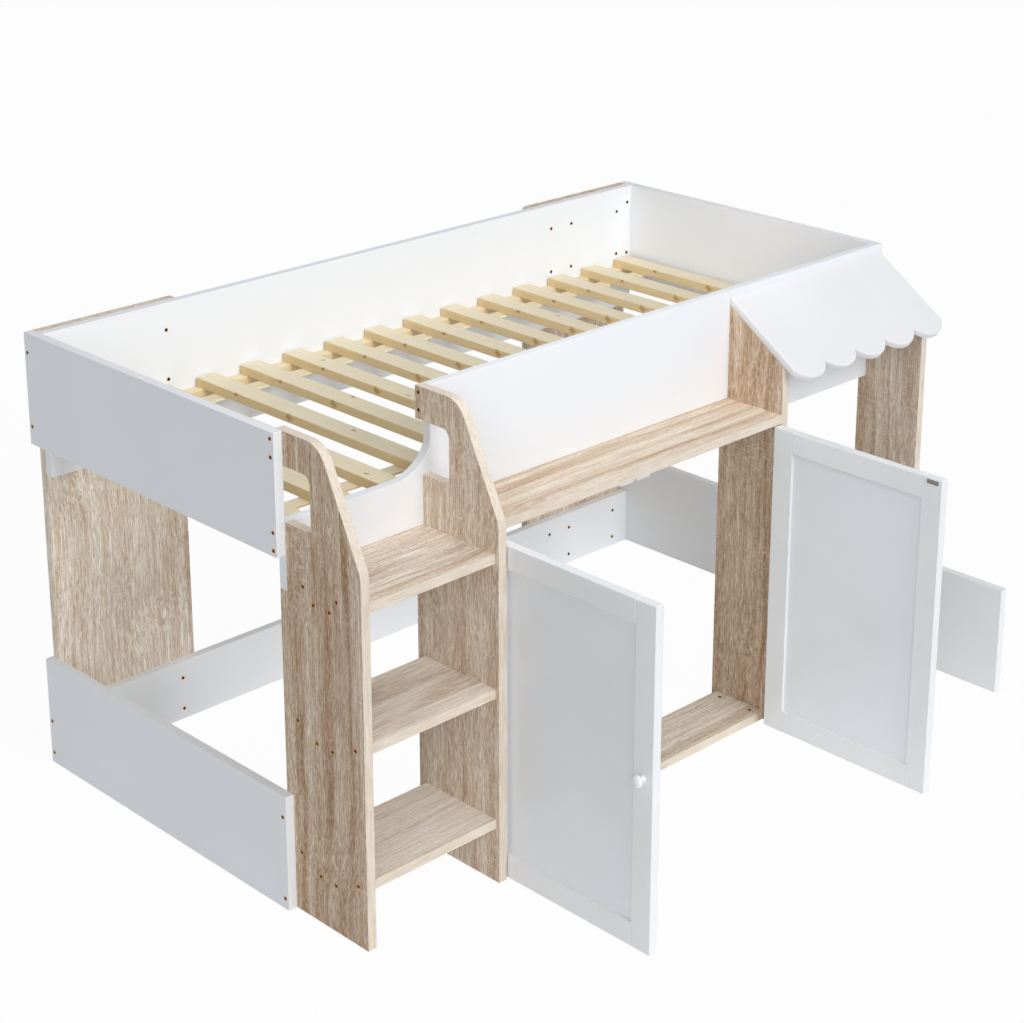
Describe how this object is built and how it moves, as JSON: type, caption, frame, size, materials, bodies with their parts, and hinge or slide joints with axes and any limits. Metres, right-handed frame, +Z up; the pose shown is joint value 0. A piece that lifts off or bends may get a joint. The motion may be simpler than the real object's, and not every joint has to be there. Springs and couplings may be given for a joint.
{
  "type": "house bed",
  "caption": "Mid-height child's house bed with a slatted base, ladder, counter shelf, two opening doors, a low gate and a scalloped awning.",
  "frame": {"origin": "on the floor, at the middle of the space that the bed covers with its doors wide open, as in the picture", "axes": "+X from the headboard to the footboard, +Y from the front to the back, +Z up"},
  "size_m": [1.9508, 1.5276, 1.065],
  "materials": {
    "white_board": "satin white melamine",
    "oak_board": "matt oak-look melamine",
    "pine": "planed, unvarnished",
    "white_lacquer": "semi-gloss lacquer",
    "zinc_steel": "zinc plated",
    "catch_steel": "brushed",
    "white_plastic": "moulded",
    "screw_brass": "yellow zinc plated"
  },
  "bodies": {
    "bed_frame": {"headboard": "white_board", "footboard": "white_board", "back_rail": "white_board", "front_rail": "white_board", "lower_left_end_board": "white_board", "lower_right_end_board": "white_board", "lower_back_rail": "white_board", "left_back_post": "oak_board", "right_back_post": "oak_board", "ladder_left_panel": "oak_board", "ladder_right_panel": "oak_board", "step_1": "oak_board", "step_2": "oak_board", "step_3": "oak_board", "step_braces": "oak_board", "middle_panel": "oak_board", "right_front_post": "oak_board", "counter_shelf": "oak_board", "floor_board": "oak_board", "awning": "white_board", "front_ledger": "pine", "back_ledger": "pine", "slat_laths": "pine", "slat_01": "pine", "slat_02": "pine", "slat_03": "pine", "slat_04": "pine", "slat_05": "pine", "slat_06": "pine", "slat_07": "pine", "slat_08": "pine", "slat_09": "pine", "slat_10": "pine", "slat_11": "pine", "slat_12": "pine", "slat_13": "pine", "slat_14": "pine", "slat_15": "pine", "hinge_fixed_leaves": "zinc_steel", "hinge_pins": "zinc_steel", "magnetic_catches": "white_plastic", "frame_screws": "screw_brass"},
    "left_door": {"left_door_hinge_stile": "white_lacquer", "left_door_free_stile": "white_lacquer", "left_door_top_rail": "white_lacquer", "left_door_bottom_rail": "white_lacquer", "left_door_infill": "white_lacquer", "left_door_knob": "white_lacquer", "left_door_hinge_leaves": "zinc_steel", "left_door_catch_plate": "catch_steel"},
    "right_door": {"right_door_hinge_stile": "white_lacquer", "right_door_free_stile": "white_lacquer", "right_door_top_rail": "white_lacquer", "right_door_bottom_rail": "white_lacquer", "right_door_infill": "white_lacquer", "right_door_knob": "white_lacquer", "right_door_hinge_leaves": "zinc_steel", "right_door_catch_plate": "catch_steel"},
    "gate": {"gate_board": "white_lacquer", "gate_hinge_leaves": "zinc_steel"}
  },
  "joints": [
    {"name": "left_door_hinge", "type": "hinge", "parent": "bed_frame", "child": "left_door", "pos_m": [-0.5612, -0.29115, 0.389], "axis": [0, 0, 1], "range_deg": [0, 90]},
    {"name": "right_door_hinge", "type": "hinge", "parent": "bed_frame", "child": "right_door", "pos_m": [0.3862, -0.29115, 0.389], "axis": [0, 0, -1], "range_deg": [-80, 90]},
    {"name": "gate_hinge", "type": "hinge", "parent": "bed_frame", "child": "gate", "pos_m": [0.9282, -0.12415, 0.1425], "axis": [0, 0, -1], "range_deg": [0, 90]}
  ]
}
